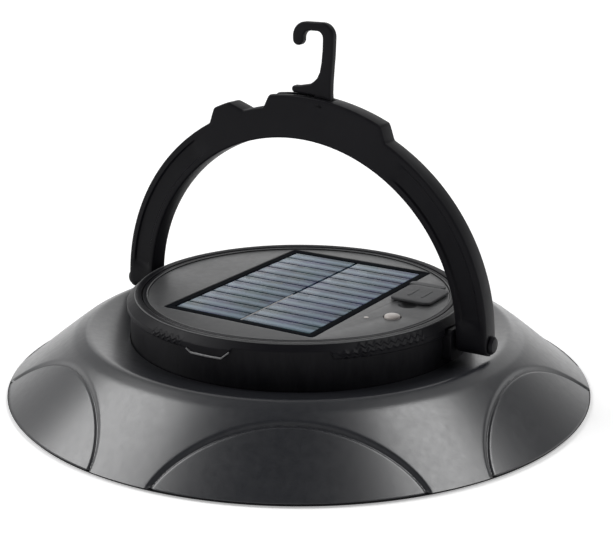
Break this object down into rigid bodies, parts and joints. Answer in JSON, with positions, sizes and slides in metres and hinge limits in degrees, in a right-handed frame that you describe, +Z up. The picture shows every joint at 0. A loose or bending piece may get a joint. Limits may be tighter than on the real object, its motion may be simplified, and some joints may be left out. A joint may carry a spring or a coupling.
{
  "type": "solar lantern",
  "caption": "Round solar lantern: scalloped dome shade lit from below, hub with a solar panel on top, swinging half-round bail and a hook that folds into its crown.",
  "frame": {"origin": "middle of the ring that the lantern stands on, at the surface it rests on", "axes": "+Z up; +X along the bail's hinge line towards the limb beside the button; -Y is the front"},
  "size_m": [0.198, 0.199, 0.1231],
  "materials": {
    "shade_plastic": "satin, pearl grey-black",
    "black_plastic": "fine moulded texture",
    "hub_top_plastic": "satin",
    "panel_black": "smooth",
    "solar_cell": "silicon under a clear cover",
    "clear_resin": "clear gloss",
    "circuit_board": "solder mask",
    "white_board": "white",
    "led_package": "yellow phosphor",
    "frosted_plastic": "frosted",
    "button_plastic": "translucent white",
    "rubber": "matte",
    "steel": "plain",
    "cell_wrap": "shrink wrapped"
  },
  "bodies": {
    "root": {"bail_pin_left": "black_plastic", "bail_pin_right": "black_plastic", "base_ring": "black_plastic", "battery_cell": "cell_wrap", "battery_contact_minus": "steel", "battery_contact_plus": "steel", "battery_cradle": "black_plastic", "board_screw_1": "steel", "board_screw_2": "steel", "button_switch": "black_plastic", "cap_ring": "black_plastic", "charge_socket": "steel", "control_board": "circuit_board", "diffuser_lens": "frosted_plastic", "dome_shade": "shade_plastic", "flap_anchor": "rubber", "hub_housing": "black_plastic", "hub_screw_1": "steel", "hub_screw_2": "steel", "hub_screw_3": "steel", "hub_screw_4": "steel", "hub_seal": "rubber", "led_01": "led_package", "led_02": "led_package", "led_03": "led_package", "led_04": "led_package", "led_05": "led_package", "led_06": "led_package", "led_07": "led_package", "led_08": "led_package", "led_09": "led_package", "led_10": "led_package", "led_11": "led_package", "led_12": "led_package", "led_board": "white_board", "panel_board": "panel_black", "panel_cells_left": "solar_cell", "panel_cells_right": "solar_cell", "panel_margin": "panel_black", "panel_resin": "clear_resin", "pin_clip_left": "steel", "pin_clip_right": "steel", "reflector_cone": "white_board", "status_lens": "button_plastic", "top_plate": "hub_top_plastic"},
    "bail": {"bail": "black_plastic", "hook_pin": "black_plastic"},
    "hook": {"hook": "black_plastic"},
    "power_button": {"power_button": "button_plastic"},
    "port_flap": {"port_flap": "rubber"}
  },
  "joints": [
    {"name": "bail_hinge", "type": "hinge", "parent": "root", "child": "bail", "pos_m": [0, 0, 0.0256], "axis": [1, 0, 0], "range_deg": [-90, 90]},
    {"name": "hook_fold", "type": "hinge", "parent": "bail", "child": "hook", "pos_m": [0.0096, 0, 0.0969], "axis": [0, -1, 0], "range_deg": [0, 90]},
    {"name": "button_press", "type": "slide", "parent": "root", "child": "power_button", "axis": [0, 0, -1], "range_m": [0, 0.0008], "stiffness_N_per_m": 800, "springref_m": -0.0005},
    {"name": "port_flap_hinge", "type": "hinge", "parent": "root", "child": "port_flap", "pos_m": [0.0386, 0.02395, 0.03335], "axis": [-1, 0, 0], "range_deg": [0, 95]}
  ]
}
